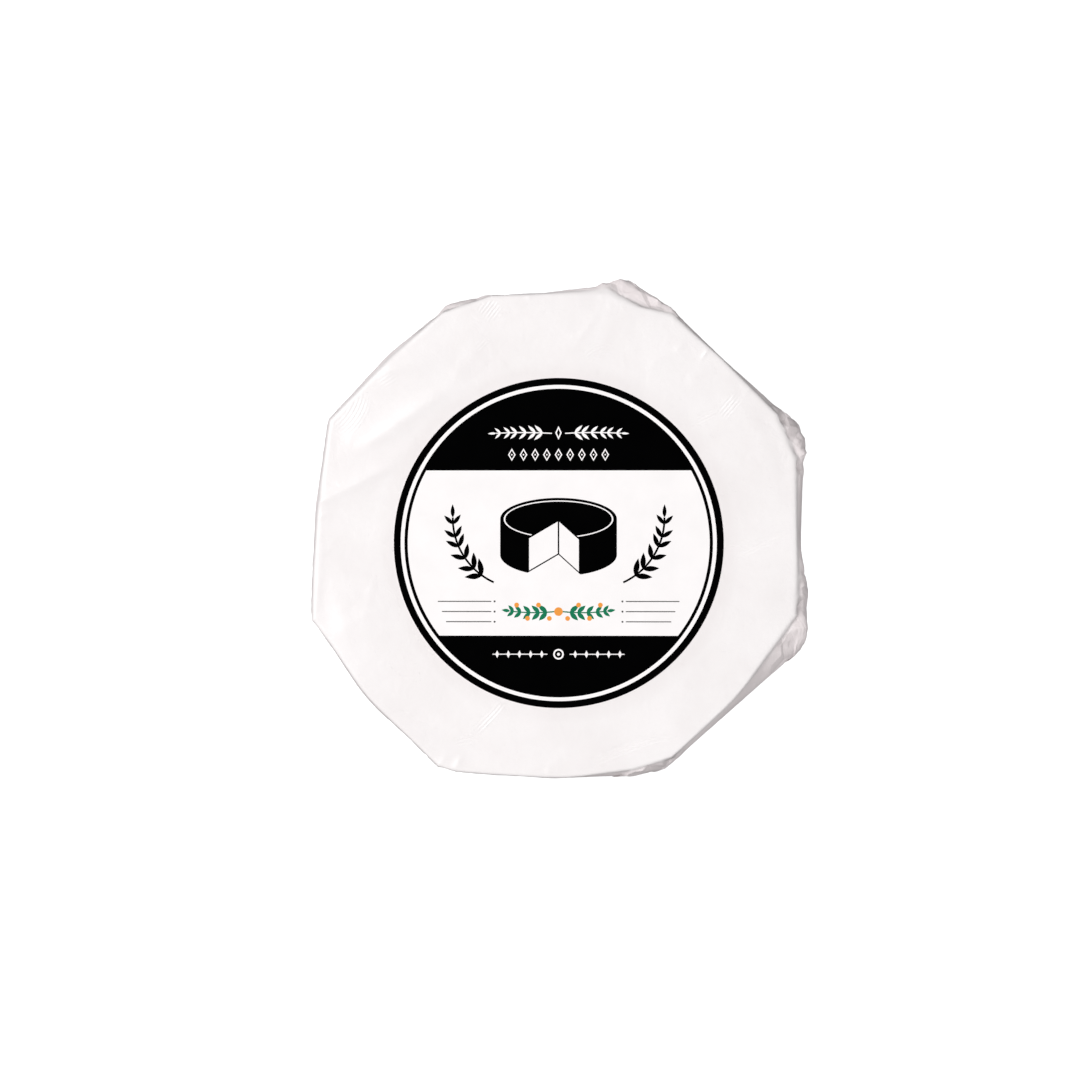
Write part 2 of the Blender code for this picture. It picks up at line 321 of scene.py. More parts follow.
# A fold is widest at the share widest of the way down, and there it is at angle and reach. At the rim it
# is at rimAngle, with rimShare of its width. Its flap lies clockwise of it, over flapSpan. Where it has a
# stand, the panel on its other side lies that much deeper, from stepSpan on.
Fold = namedtuple("Fold", "angle reach rimAngle rimShare widest flapSpan stand stepSpan",
                  defaults=(0.0, 0.0, 1.5))
folds = (
    Fold(21.5, 0.1056, 17.5, 0.36, flapSpan=6.0, widest=0.27),
    Fold(26.0, 0.1046, 28.6, 0.40, stand=0.0024, stepSpan=3.5, widest=0.27),
    Fold(64.0, 0.1006, 62.0, 0.50, flapSpan=8.0, widest=0.14),
    Fold(75.6, 0.1056, 78.0, 0.23, stand=0.0055, widest=0.16),
    Fold(107.0, 0.0987, 105.0, 0.72, flapSpan=8.0, widest=0.20),
    Fold(114.5, 0.1006, 117.0, 0.58, widest=0.20),
    Fold(153.0, 0.1012, 153.0, 0.84, flapSpan=12.0, widest=0.14),
    Fold(199.2, 0.1025, 199.2, 0.91, flapSpan=13.0, widest=0.14),
    Fold(243.0, 0.1030, 243.0, 0.92, flapSpan=12.0, widest=0.20),
    Fold(247.2, 0.1018, 247.2, 0.92, widest=0.20),
    Fold(288.0, 0.1000, 288.0, 0.35, flapSpan=9.0, widest=0.30),
    Fold(294.7, 0.1022, 297.6, 0.50, widest=0.30),
    Fold(336.3, 0.1078, 341.5, 0.34, flapSpan=10.0, stand=0.0016, stepSpan=3.5, widest=0.26),
    Fold(349.3, 0.1013, 351.0, 0.19, stand=0.0030, stepSpan=2.0, widest=0.30),
)


def smooth(value):
    value = np.clip(value, 0.0, 1.0)
    return value * value * (3.0 - 2.0 * value)


def mixed(first, second, share):
    return first + (second - first) * share


def turned(angle):
    return (angle + 180.0) % 360.0 - 180.0


def opened(value):
    # quick at first, then slower, as paper leaves a rim at a slant
    value = np.clip(value, 0.0, 1.0)
    return value * (2.0 - value)


def foldWidth(fold, down):
    widening = mixed(fold.rimShare, 1.0, opened(down / fold.widest))
    return widening * mixed(1.0, paper["footShare"], smooth((down - fold.widest) / (1 - fold.widest)))


def foldAngle(fold, down):
    return mixed(fold.rimAngle, fold.angle, smooth(down / fold.widest))


def panelRadius(angle, down):
    # the side's distance from the axis without its folds
    starts, rims, sides, widests = (np.array(values) for values in zip(*panels))
    angle = angle % 360.0
    index = np.searchsorted(starts, angle, side="right") - 1
    after = (index + 1) % len(panels)
    share = smooth((angle - starts[index]) / ((starts[after] - starts[index]) % 360.0))
    atRim, atSide = mixed(rims[index], rims[after], share), mixed(sides[index], sides[after], share)
    return mixed(atRim, atSide, opened(down / mixed(widests[index], widests[after], share)))


def tangentRun(circle, reach, away):
    # the straight run of paper from a fold's tip to the round of its panel
    tangent = np.degrees(np.arccos(circle / np.maximum(reach, circle)))
    return circle / np.cos(np.radians(np.maximum(0.0, tangent - np.abs(away))))


def foldedOutline(angle, down):
    circle = panelRadius(angle, down)
    radius, tips = circle, []
    for fold in folds:
        tipAngle = foldAngle(fold, down)
        tipCircle, width = panelRadius(tipAngle, down), foldWidth(fold, down)
        reach = mixed(tipCircle, fold.reach, width)
        tips.append((tipAngle, reach))
        away = turned(angle - tipAngle)
        step = fold.stand * smooth(down / fold.widest) * width
        reach = reach - np.minimum(step, reach - tipCircle) * smooth(away / fold.stepSpan)
        radius = np.maximum(radius, tangentRun(circle, reach, away))
    for (nearAngle, near), (farAngle, far) in zip(tips, tips[1:] + tips[:1]):
        gap, past = (farAngle - nearAngle) % 360.0, (angle - nearAngle) % 360.0
        spread = near * np.sin(np.radians(past)) + far * np.sin(np.radians(gap - past))
        joined = (past < gap) & (gap < paper["joinedSpan"])
        run = near * far * np.sin(np.radians(gap)) / np.where(joined, spread, 1.0)
        radius = np.where(joined, np.maximum(radius, run), radius)
    return radius


def outline(angle, down):
    # the paper's distance from the axis; the folds at the right are loose, so their tips are blunt: half of
    # the radius there comes from the two sides
    sharp = foldedOutline(angle, down)
    span = paper["bluntSpan"]
    bothSides = foldedOutline(angle - span, down) + foldedOutline(angle + span, down)
    loose = smooth(paper["looseSpread"] + np.cos(np.radians(angle - paper["looseSide"])))
    blunt = (bothSides + 2.0 * sharp) / 4.0
    return mixed(sharp, blunt, loose * smooth(down / paper["bluntFullAt"]))


def rimRounding(angle):
    share = 0.5 + 0.5 * np.cos(np.radians(angle))
    return mixed(paper["rimRoundingLeft"], paper["rimRoundingRight"], share)


def markedColumns(down):
    # the columns that follow folds and flap edges: angle, share of the flap's layer and of the base's step
    marks = []
    tuck = mixed(-paper["tuckAtRim"], paper["tuck"], smooth(down / paper["flapFullAt"]))
    for fold in folds:
        angle = foldAngle(fold, down)
        if fold.flapSpan:
            edge = angle - fold.flapSpan * mixed(paper["flapTopShare"], 1.0, down)
            marks += [(edge + tuck, 0.0, 1.0), (edge, paper["edgeLayer"], paper["edgeUnder"]),
                      (edge + paper["flapRound"], 1.0, 0.0)]
        marks.append((angle, paper["foldLayer"], paper["foldUnder"]))
        if fold.stand:
            marks.append((angle + fold.stepSpan, 0.0, paper["stepUnder"]))
    return marks


def columnGrid(down):
    # every column's angle at every row, and its two shares
    marks = markedColumns(down)
    angles, layers, unders = [], [], []
    for (angle, layer, under), (nextAngle, nextLayer, nextUnder) in zip(marks, marks[1:] + marks[:1]):
        gap = turned(nextAngle - angle)
        count = max(1, ceil(np.max(gap) / paper["columnSpan"]))
        for number in range(count):
            angles.append(angle + gap * number / count)
            layers.append(mixed(layer, nextLayer, number / count))
            unders.append(mixed(under, nextUnder, number / count))
    return np.stack(angles, axis=1), np.array(layers), np.array(unders)


def droop(x, y, angle):
    # how far the top face sinks where a corner stands past the wheel
    panel = panelRadius(angle, 0.0)
    overhang = smooth((outline(angle, 0.0) - panel) / paper["fullDroopAt"])
    pastWheel = smooth((np.hypot(x, y) - panel + paper["droopFrom"]) / paper["droopFrom"])
    return paper["cornerDroop"] * overhang * pastWheel


def paperGrid():
    # rings of points from inside the label's edge, over the rim, down the side and in under the wheel; and
    # the way each ring faces, from 0 up through 90 outwards to 180 down
    topRows, rimRows, sideRows = paper["topRows"], paper["rimRows"], paper["sideRows"]
    baseEdgeRows, underRows = paper["baseEdgeRows"], paper["underRows"]
    sideShare = np.linspace(0.0, 1.0, sideRows) ** paper["sideCrowding"]
    rimShare = np.arange(1, rimRows) / rimRows
    down = np.concatenate([np.zeros(topRows), paper["rimDown"] * rimShare**2,
                           mixed(paper["rimDown"], 1.0, sideShare), np.ones(baseEdgeRows + underRows)])
    angle, layer, under = columnGrid(down)
    points, ways = [], []

    def addRing(angles, radius, height, way):
        turn = np.radians(angles)
        points.append(np.stack([radius * np.cos(turn), radius * np.sin(turn), height], axis=1))
        ways.append(way)

    rimAngle = angle[0]
    rounding = rimRounding(rimAngle)
    rimOutline = outline(rimAngle, 0.0)
    turn = np.radians(rimAngle)
    farX, farY = (rimOutline - rounding) * np.cos(turn), (rimOutline - rounding) * np.sin(turn)
    nearRadius = labelRadius - paper["labelOverlap"]
    nearX = labelCentre.x + nearRadius * np.cos(turn)
    nearY = labelCentre.y + nearRadius * np.sin(turn)
    for share in np.linspace(0.0, 1.0, topRows):
        x, y = mixed(nearX, farX, share), mixed(nearY, farY, share)
        points.append(np.stack([x, y, paperTop - droop(x, y, rimAngle)], axis=1))
        ways.append(0.0)
    rimTop = paperTop - droop(farX, farY, rimAngle)
    power = 2.0 / paper["rimSquareness"]
    for number in range(1, rimRows):
        turn, row = 0.5 * pi * number / rimRows, topRows + number - 1
        radius = outline(angle[row], down[row]) - rounding * (1.0 - sin(turn) ** power)
        height = rimTop - rounding * (1.0 - cos(turn) ** power)
        addRing(angle[row], radius, height, 90.0 * number / rimRows)

    baseRounding = paper["baseRounding"]
    for number, share in enumerate(sideShare):
        row = topRows + rimRows - 1 + number
        flap = paper["flapLayer"] * layer * smooth(share / paper["flapFullAt"])
        height = mixed(rimTop - rounding, baseRounding, share)
        addRing(angle[row], outline(angle[row], down[row]) + flap, height, 90.0)
    outer = outline(angle[-1], 1.0) + paper["flapLayer"] * layer
    edge = outer - baseRounding

    def underHeight(radius):
        span = paper["underFullAt"] * (edge - paper["flatRadius"])
        return paper["baseLayer"] * under * smooth((radius - paper["flatRadius"]) / span)

    for number in range(1, baseEdgeRows + 1):
        turn = 0.5 * pi * number / baseEdgeRows
        height = mixed(baseRounding, underHeight(edge), sin(turn))
        way = 90.0 + 90.0 * number / baseEdgeRows
        addRing(angle[-1], edge + baseRounding * cos(turn), height, way)
    for share in np.linspace(1.0, 0.0, underRows + 1)[1:]:
        radius = mixed(paper["flatRadius"], edge, share)
        # the last ring bounds the flat middle, where no paper lies under itself
        addRing(angle[-1] if share else np.sort(angle[-1]), radius, underHeight(radius), 180.0)
    return np.stack(points), np.array(ways)


# What the pull of the folds leaves in the paper: soft ridges, sharp creases and bands of fine wrinkles,
# each between two points of the top face. Lengths are in millimetres here, and a bend in degrees.

# A ridge or crease rises from its first point over the share rise of its length. The larger its crest,
# the rounder it is.
Ridge = namedtuple("Ridge", "x0 y0 x1 y1 halfWidth height crest bend rise", defaults=(0.3, 0.0, 0.2))
ridges = (
    Ridge(-98.0, 10.5, -58.0, 30.0, 2.0, 1.05, 0.5),
    Ridge(-85.0, 28.5, -33.0, 63.5, 2.2, 1.05, 1.4, 6.0, 0.42),
    Ridge(-72.0, 65.0, -38.0, 70.0, 2.8, 0.80, 2.4, -20.0),
    Ridge(-73.0, 25.5, -45.0, 40.5, 2.8, 0.30, 2.4, 0.0, 0.5),
    Ridge(-42.0, 61.0, -26.0, 78.0, 2.8, 0.35, 2.0), Ridge(17.5, 88.0, 5.0, 71.5, 0.9, 0.22),
    Ridge(36.0, 66.0, 50.0, 74.5, 1.5, 0.24, 0.8), Ridge(51.0, 60.5, 64.0, 64.5, 1.5, 0.22, 0.8),
    Ridge(56.0, 67.4, 61.2, 74.2, 0.40, 0.55, 0.2, 0.0, 0.6), Ridge(46.5, 72.6, 52.6, 75.6, 0.8, 0.36),
    Ridge(17.2, 95.6, 20.2, 91.4, 0.6, 0.28), Ridge(20.4, 92.0, 22.6, 88.6, 0.6, 0.20),
    Ridge(-97.0, 6.0, -88.0, 8.5, 0.6, 0.22), Ridge(-97.0, -6.0, -89.0, -8.0, 0.5, 0.28),
    Ridge(-92.2, -4.0, -95.0, -35.0, 0.5, 0.28, 0.2), Ridge(-86.5, -11.0, -76.5, -27.5, 1.2, 0.16),
    Ridge(-71.5, -16.5, -76.5, -36.0, 1.2, 0.16), Ridge(-90.0, -40.0, -60.0, -24.0, 2.6, 0.26, 2.0),
    Ridge(-41.5, -95.5, -36.4, -86.2, 0.7, 0.40), Ridge(-46.5, -92.0, -42.4, -86.4, 0.6, 0.26),
    Ridge(-23.5, -90.5, -16.5, -86.8, 0.8, 0.15), Ridge(-3.8, -97.0, -1.2, -90.6, 0.5, 0.22),
    Ridge(-11.2, 97.0, -10.0, 91.0, 0.5, 0.22), Ridge(79.0, 60.5, 73.0, 53.4, 0.7, 0.28),
    Ridge(89.0, 42.0, 82.6, 47.2, 0.8, 0.26), Ridge(52.0, -80.0, 38.0, -64.0, 2.4, 0.24, 1.8),
    Ridge(93.0, -30.0, 76.0, -22.0, 2.4, 0.22, 1.8),
)

Wrinkles = namedtuple("Wrinkles", "x0 y0 x1 y1 breadth spacing height bend", defaults=(0.0,))
wrinkleBands = (
    Wrinkles(-84.2, 39.8, -74.6, 55.0, 9.6, 1.40, 0.055, 44.0),
    Wrinkles(-69.0, 59.0, -62.8, 62.8, 5.8, 1.35, 0.045),
    Wrinkles(-28.3, 86.5, -23.9, 92.1, 9.0, 1.3, 0.100),
    Wrinkles(-31.3, 73.0, -26.7, 77.6, 4.0, 1.3, 0.055),
    Wrinkles(11.5, 70.6, 21.1, 75.1, 5.6, 1.3, 0.090, -34.0),
    Wrinkles(65.0, 46.6, 71.5, 54.2, 6.2, 1.3, 0.100),
    Wrinkles(54.6, 44.0, 63.7, 48.3, 4.0, 1.3, 0.080),
    Wrinkles(70.0, -9.2, 91.0, 0.6, 3.4, 1.5, 0.085, -8.0),
    Wrinkles(66.5, -5.0, 83.5, -0.6, 2.0, 1.5, 0.060),
    Wrinkles(16.0, -89.2, 40.0, -80.0, 4.2, 1.5, 0.115, -6.0),
    Wrinkles(35.0, -81.4, 48.5, -79.2, 3.2, 1.4, 0.080),
    Wrinkles(-31.5, -78.0, -20.6, -66.6, 4.0, 1.35, 0.080, 8.0),
    Wrinkles(-40.0, -82.4, -31.0, -80.0, 3.0, 1.3, 0.060),
)

# Pleats and furrows run down the side from the rim, each from one angle there to another at the folds' tips
Pleat = namedtuple("Pleat", "rimAngle tipAngle halfWidth height")
pleats = (
    Pleat(28.0, 25.4, 1.0, -1.5), Pleat(25.6, 23.8, 1.0, 1.4), Pleat(23.4, 22.5, 0.9, -1.5),
    Pleat(21.4, 21.1, 0.9, 1.7), Pleat(18.8, 19.6, 0.9, -0.6), Pleat(17.4, 18.6, 1.0, 0.9),
    Pleat(14.8, 17.2, 0.9, -1.3), Pleat(-10.0, -9.0, 1.0, 0.7), Pleat(-12.6, -11.2, 0.9, -1.1),
    Pleat(-14.6, -13.2, 1.0, 0.9), Pleat(-17.2, -16.2, 0.9, -0.9), Pleat(-24.6, -19.2, 0.9, 1.3),
    Pleat(-22.0, -17.4, 0.7, -0.7), Pleat(-27.4, -23.6, 0.7, -0.9), Pleat(-30.0, -26.0, 1.0, 0.7),
    Pleat(73.0, 72.0, 0.8, 0.6), Pleat(66.0, 67.4, 0.8, 0.7), Pleat(60.0, 61.4, 0.8, -0.7),
    Pleat(-64.6, -65.2, 0.8, 0.9), Pleat(-68.0, -68.6, 0.8, -0.8), Pleat(-73.6, -72.8, 0.8, 0.7),
    Pleat(108.8, 108.0, 0.8, -0.7), Pleat(112.4, 112.0, 0.8, 0.7),
)

relief = dict(
    ridgeFall=0.5,  # the share of a ridge's length over which it dies out
    bandEnd=2.2,  # the larger, the sooner the wrinkles of a band die out towards its ends and sides
    bandPower=4,  # and the more suddenly
    pleatFrom=94.0,  # in mm from the axis
    pleatTo=110.0,
    pleatReach=1.0,  # how far a pleat runs from its middle, as a share of that length
    sway=0.00016,  # slow waves over the top face
    swaySize=0.022,
    swayShift=3.0,
    bandMargin=0.09,  # how far past a band of wrinkles the finer mesh runs, as a share of it
    radialCuts=4,
    roundCuts=2,
    facets=((0.0150, 0.00110, 11), (0.0070, 0.00120, 12), (0.0036, 0.00055, 13)),  # size, height and seed
    facetSeeds=4.0,  # in a cube of a facet's size
    facetGain=4.0,
    facetsStart=0.020,  # down the side; the rim over it stays straight
    facetsFullAt=0.07,  # further down
    facetsFadeAt=0.24,  # where the side is widest they are lower
    facetsBelow=0.24,
    tautCalm=0.85,  # how much calmer a fold is that is pulled taut up to the rim
    panelShare=0.12,  # the share of them on a plain panel
    foldReach=9.0,  # degrees from a fold
    facetsFrom=0.078,  # from the axis
    topShare=0.07,  # the share that reaches the top face, just inside its edge
    topReach=0.0060,  # how far in from the edge it fades out
    calmUnder=0.0060,  # the top face is calm this far inside the label's edge
)


def besideLine(x, y, line):
    # a point's share of the way along a bent line, and how far to the left of the line it lies, in mm
    runX, runY = line.x1 - line.x0, line.y1 - line.y0
    length = hypot(runX, runY)
    pastX, pastY = 1000 * x - line.x0, 1000 * y - line.y0
    share = (pastX * runX + pastY * runY) / length**2
    off = (pastY * runX - pastX * runY) / length
    return share, off - tan(radians(line.bend / 2)) * length * (share - 0.5) ** 2


def topRelief(x, y):
    height = np.zeros_like(x)
    for ridge in ridges:
        share, off = besideLine(x, y, ridge)
        crest = np.exp(-(np.hypot(off, ridge.crest) - ridge.crest) / ridge.halfWidth)
        ends = smooth(share / ridge.rise) * smooth((1 - share) / relief["ridgeFall"])
        height += ridge.height * crest * ends
    end, power = relief["bandEnd"], relief["bandPower"]
    for band in wrinkleBands:
        share, off = besideLine(x, y, band)
        fade = np.exp(-((end * (share - 0.5)) ** power) - (end * off / band.breadth) ** power)
        height += band.height * fade * np.cos(2 * pi * off / band.spacing)
    return height / 1000


def pleatRelief(x, y):
    height = np.zeros_like(x)
    for pleat in pleats:
        ends = [(relief["pleatFrom"], pleat.rimAngle), (relief["pleatTo"], pleat.tipAngle)]
        line = [part for far, turn in ends for part in (far * cos(radians(turn)), far * sin(radians(turn)))]
        share, off = besideLine(x, y, Ridge(*line, pleat.halfWidth, pleat.height))
        near = np.abs(share - 0.5) < relief["pleatReach"]
        height += pleat.height * np.exp(-np.abs(off) / pleat.halfWidth) * near
    return height / 1000


def noiseAt(points, size, shift):
    return np.array([noise.noise(Vector(point) / size + Vector((shift, 0.0, 0.0))) for point in points])


def facetField(points, size, seed):
    # flat facets that meet in sharp creases, from about -1 to 1: the difference of two domed nets
    draw = np.random.default_rng(seed)
    low, high = points.min(axis=0) - size, points.max(axis=0) + size
    nets = []
    for _ in range(2):
        count = round(relief["facetSeeds"] * np.prod((high - low) / size))
        seeds = draw.uniform(low, high, (count, 3))
        seeds = seeds[np.hypot(seeds[:, 0], seeds[:, 1]) > relief["facetsFrom"] - size]
        tree = KDTree(len(seeds))
        for number, spot in enumerate(seeds):
            tree.insert(spot, number)
        tree.balance()
        nets.append(np.array([tree.find(point)[2] for point in points]) ** 2)
    return relief["facetGain"] * (nets[1] - nets[0]) / size**2


def calmShare(x, y):
    off = np.hypot(x - labelCentre.x, y - labelCentre.y) - labelRadius
    return smooth(off / relief["calmUnder"] + 1.0)


def sway(x, y):
    points = np.stack([x, y, np.zeros_like(x)], axis=1)
    return relief["sway"] * noiseAt(points, relief["swaySize"], relief["swayShift"]) * calmShare(x, y)


def foldShare(points):
    # how near a point is to a loose fold, from 0 to 1
    angle = np.degrees(np.arctan2(points[:, 1], points[:, 0]))
    down = np.clip((paperTop - points[:, 2]) / paperTop, 0.0, 1.0)
    shares = []
    for fold in folds:
        near = smooth(1.0 - np.abs(turned(angle - foldAngle(fold, down))) / relief["foldReach"])
        shares.append(near * (1.0 - relief["tautCalm"] * fold.rimShare))
    return np.max(shares, axis=0)


def addRelief(flat, way):
    # moves each point the way that its ring faces
    x, y = flat[:, 0], flat[:, 1]
    turn = np.radians(way)
    top = 0.5 + 0.5 * np.cos(2 * np.minimum(turn, 0.5 * pi))
    height = (topRelief(x, y) * calmShare(x, y) + sway(x, y)) * top
    outer = np.hypot(x, y) > relief["facetsFrom"]
    side = flat[outer]
    rough = sum(high * facetField(side, size, seed) for size, high, seed in relief["facets"])
    angle = np.degrees(np.arctan2(y[outer], x[outer]))
    nearEdge = smooth(1.0 - (outline(angle, 0.0) - np.hypot(x[outer], y[outer])) / relief["topReach"])
    rough = rough * mixed(relief["panelShare"], 1.0, foldShare(side)) + pleatRelief(x[outer], y[outer])
    down = (paperTop - side[:, 2]) / paperTop
    under = smooth((down - relief["facetsStart"]) / relief["facetsFullAt"])
    under *= mixed(1.0, relief["facetsBelow"], smooth(down / relief["facetsFadeAt"]))
    height[outer] += rough * mixed(relief["topShare"] * nearEdge, under, 1.0 - top[outer])
    outward = np.sin(turn) / np.maximum(np.hypot(x, y), 1e-6)
    flat = flat + np.stack([x * outward, y * outward, np.cos(turn)], axis=1) * height[:, None]
    flat[:, 2] = np.maximum(flat[:, 2], 0.0)  # pressed flat where it rests
    return flat


def isRadial(edge):
    # whether an edge runs more along the radius than round the wheel
    first, second = (corner.co for corner in edge.verts)
    return abs(hypot(first.x, first.y) - hypot(second.x, second.y)) > 0.5 * (first - second).length


def refineBands(mesh):
    # parts the mesh more finely under the bands of wrinkles, along the radius and then round the wheel
    grid = bmesh.new()
    grid.from_mesh(mesh)
    facing = grid.verts.layers.float["facing"]
    half = 0.5 + relief["bandMargin"]
    for radial, cuts in ((True, relief["radialCuts"]), (False, relief["roundCuts"])):
        flat = [face for face in grid.faces if not any(corner[facing] for corner in face.verts)]
        faces = [face for face in flat if len(face.verts) == 4]
        middles = np.array([face.calc_center_median() for face in faces])
        near = np.zeros(len(faces), bool)
        for band in wrinkleBands:
            share, off = besideLine(middles[:, 0], middles[:, 1], band)
            near |= (np.abs(share - 0.5) < half) & (np.abs(off) < half * band.breadth)
        edges = {edge for face, here in zip(faces, near) if here for edge in face.edges}
        edges = [edge for edge in edges if isRadial(edge) == radial]
        bmesh.ops.subdivide_edges(grid, edges=edges, cuts=cuts, use_grid_fill=True)
    grid.to_mesh(mesh)
    grid.free()


def addPiece(name, points, faces, materials, slots=None):
    mesh = bpy.data.meshes.new(name)
    mesh.from_pydata([tuple(point) for point in points], [], faces)
    piece = bpy.data.objects.new(name, mesh)
    bpy.context.scene.collection.objects.link(piece)
    for material in materials:
        mesh.materials.append(material)
    if slots is not None:
        mesh.polygons.foreach_set("material_index", slots)
    shadeSmooth(mesh)
    return piece


def shadeSmooth(mesh):
    mesh.shade_smooth()
    mesh.set_sharp_from_angle(angle=radians(paper["edgeAngle"]))
    mesh.update()


def makePaper():
    points, ways = paperGrid()
    rows, columns, _ = points.shape
    top, bottom = rows * columns, rows * columns + 1
    faces = []
    for column in range(columns):
        after = (column + 1) % columns
        faces.append((top, column, after))
        faces.append((bottom, (rows - 1) * columns + after, (rows - 1) * columns + column))
        for row in range(rows - 1):
            upper, lower = row * columns, (row + 1) * columns
            faces.append((upper + column, lower + column, lower + after, upper + after))
    ends = [(labelCentre.x, labelCentre.y, paperTop), (0.0, 0.0, 0.0)]
    piece = addPiece("foldedPaper", points.reshape(-1, 3).tolist() + ends, faces, [paperMaterial()])
    mesh = piece.data
    facing = mesh.attributes.new("facing", "FLOAT", "POINT")
    facing.data.foreach_set("value", np.concatenate([np.repeat(ways, columns), [0.0, 180.0]]))
    refineBands(mesh)

    flat = np.empty(len(mesh.vertices) * 3)
    mesh.vertices.foreach_get("co", flat)
    way = np.empty(len(mesh.vertices))
    mesh.attributes["facing"].data.foreach_get("value", way)
    mesh.vertices.foreach_set("co", addRelief(flat.reshape(-1, 3), way).ravel())
    mesh.attributes.remove(mesh.attributes["facing"])
    shadeSmooth(mesh)
    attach(piece, "root")
    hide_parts("wrap")
    print("folded paper:", sum(len(face.vertices) - 2 for face in mesh.polygons), "triangles")


# The round label: a thin sheet whose print is parted into fields. The print is in millimetres from the
# label's middle.

label = dict(
    thickness=0.00014,
    lift=0.00003,  # of the sheet over the paper
    sides=240,
    spacing=2.6,  # of the points that let the sheet follow the paper
    rowShare=0.866,  # of their rows
    blackRing=62.3,
    whiteRing=60.8,
    thinRing=59.5,
    topBand=28.6,
    bottomBand=-36.5,
    garlandHeight=43.4,
    lozengeRow=34.8,
    lozengePitch=4.6,
    greenHeight=-27.0,
    berryPitch=4.3,
    ruleGap=4.0,
    chainHeight=-43.8,
    chainPitch=4.4,
)


def disc(x, y, radius, sides):
    turns = [2 * pi * n / sides for n in range(sides)]
    return [(x + radius * cos(turn), y + radius * sin(turn)) for turn in turns]


def bandOfDisc(radius, low, high):
    # the part of a disc between two heights
    kept = [(x, y) for x, y in disc(0, 0, radius, label["sides"]) if low < y < high]
    for y in (low, high):
        half = sqrt(radius**2 - y**2)
        kept += [(half, y), (-half, y)]
    middle = 0.5 * (low + high)
    return sorted(kept, key=lambda point: np.arctan2(point[1] - middle, point[0]))


def placed(points, x, y, lean=0.0):
    turnX, turnY = cos(radians(lean)), sin(radians(lean))
    return [(x + px * turnX - py * turnY, y + px * turnY + py * turnX) for px, py in points]


def leaf(x, y, length, width, lean):
    # a pointed oval from its stalk at x, y
    steps, belly = 8, 0.85
    upper = [(length * n / steps, 0.5 * width * sin(pi * (n / steps) ** belly)) for n in range(steps + 1)]
    lower = [(px, -py) for px, py in reversed(upper[1:-1])]
    return placed(upper[::-1] + lower[::-1], x, y, lean)


def lozenge(x, y, width, height):
    return [(x + width / 2, y), (x, y + height / 2), (x - width / 2, y), (x, y - height / 2)]


def bar(x0, y0, x1, y1, thickness):
    run = hypot(x1 - x0, y1 - y0)
    acrossX, acrossY = -(y1 - y0) / run * thickness / 2, (x1 - x0) / run * thickness / 2
    return [(x0 + acrossX, y0 + acrossY), (x0 - acrossX, y0 - acrossY),
            (x1 - acrossX, y1 - acrossY), (x1 + acrossX, y1 + acrossY)]


def curve(points, thickness):
    # a line of even thickness through the points
    left, right = [], []
    for index, (x, y) in enumerate(points):
        before, after = points[max(index - 1, 0)], points[min(index + 1, len(points) - 1)]
        runX, runY = after[0] - before[0], after[1] - before[1]
        run = hypot(runX, runY)
        left.append((x - runY / run * thickness / 2, y + runX / run * thickness / 2))
        right.append((x + runY / run * thickness / 2, y - runX / run * thickness / 2))
    return left + right[::-1]


def mirrored(fields):
    return fields + [(ink, [(-x, y) for x, y in reversed(points)]) for ink, points in fields]


sprigShape = dict(
    steps=24,
    firstLeaf=0.16,  # as shares of the stem
    leafRun=0.76,
    taper=0.35,  # how much smaller the leaves grow towards the tip
    spread=42,  # degrees between a leaf and the stem
    tipLength=0.75,
    tipWidth=0.7,
)


def sprig(ink, x, y, length, lean, bend, leaves, leafLength, leafWidth, stem):
    # a bent stem with leaves on both sides and one at its tip
    shape = sprigShape
    steps = shape["steps"]
    line, headings = [(x, y)], []
    for n in range(steps):
        heading = lean + bend * (n / steps)
        headings.append(heading)
        (px, py), turn = line[-1], radians(heading)
        line.append((px + length / steps * cos(turn), py + length / steps * sin(turn)))
    fields = [(ink, curve(line, stem))]
    for n in range(leaves):
        at = round(steps * (shape["firstLeaf"] + shape["leafRun"] * n / max(leaves - 1, 1)))
        size = 1.0 - shape["taper"] * n / leaves
        for spread in (shape["spread"], -shape["spread"]):
            points = leaf(*line[at], leafLength * size, leafWidth * size, headings[at] + spread)
            fields.append((ink, points))
    tip = leaf(*line[-1], leafLength * shape["tipLength"], leafWidth * shape["tipWidth"], headings[-1])
    fields.append((ink, tip))
    return fields


def ellipse(x, y, wide, high, start=0.0, end=360.0, steps=72):
    turns = [radians(start + (end - start) * n / steps) for n in range(steps + (end - start < 360.0))]
    return [(x + wide * cos(turn), y + high * sin(turn)) for turn in turns]


def wheelPicture():
    # a cheese wheel seen from a little above, with one slice cut out of it
    wide, high, deep, topY, line = 23.0, 8.4, 14.0, 8.2, 0.6
    ringOuter, ringInner = (wide - 1.4, high - 1.0), (wide - 2.0, high - 1.45)
    sliceFrom, sliceTo, clear, edgeDrop = 238.0, 292.0, 2.0, 1.3 * line
    body = ellipse(0, topY, wide, high, 0, 180) + ellipse(0, topY - deep, wide, high, 180, 360)
    fields = [("black", body), ("stock", ellipse(0, topY, *ringOuter)),
              ("black", ellipse(0, topY, *ringInner))]
    cuts = [(wide * cos(radians(cut)), topY + high * sin(radians(cut))) for cut in (sliceFrom, sliceTo)]
    (leftX, leftY), (rightX, rightY) = cuts
    fields.append(("stock", [(0, topY), (leftX, leftY), (leftX, leftY - deep - clear),
                             (rightX, rightY - deep - clear), (rightX, rightY)]))
    for x, y in cuts:
        fields.append(("black", [(0, topY), (x, y), (x, y - deep), (0, topY - deep)]))
    for x, y in cuts:
        side = line if x > 0 else -line
        near, far, slope = side / 2, x - side, (y - topY) / x
        nearY, farY = topY + near * slope, topY + far * slope
        fields.append(("stock", [(near, nearY - edgeDrop), (far, farY - edgeDrop),
                                 (far, farY - deep + line), (near, nearY - deep + line)]))
    return fields


